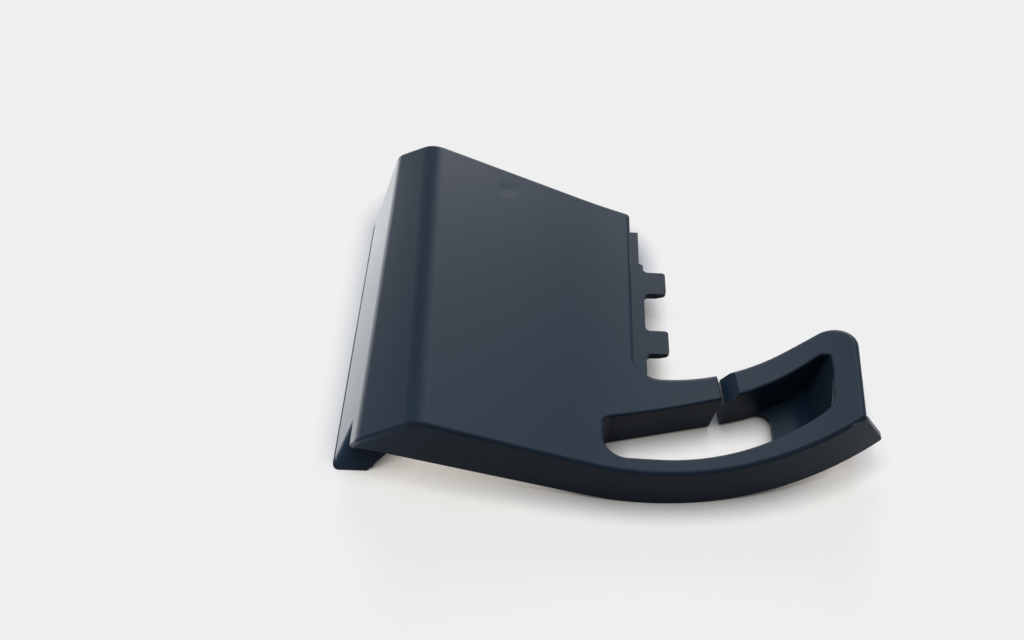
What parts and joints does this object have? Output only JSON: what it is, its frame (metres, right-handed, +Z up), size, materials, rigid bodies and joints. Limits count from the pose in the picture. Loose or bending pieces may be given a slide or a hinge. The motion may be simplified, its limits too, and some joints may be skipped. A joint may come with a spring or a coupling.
{
  "type": "trim housing",
  "caption": "One-piece moulded trim housing: a flat hollow panel with locating tabs and an open strap loop with a slip-in gap and a scoop.",
  "frame": {"origin": "centre of the bounding box in plan, at the level of the left wall's sole", "axes": "+X to the right along the front, towards the scoop; +Y away from the front; +Z up, out of the crown"},
  "size_m": [0.1958, 0.1644, 0.0279],
  "materials": {
    "housing": "fine moulded grain, matt dark blue grey"
  },
  "bodies": {
    "root": {"housing": "housing"}
  },
  "joints": []
}
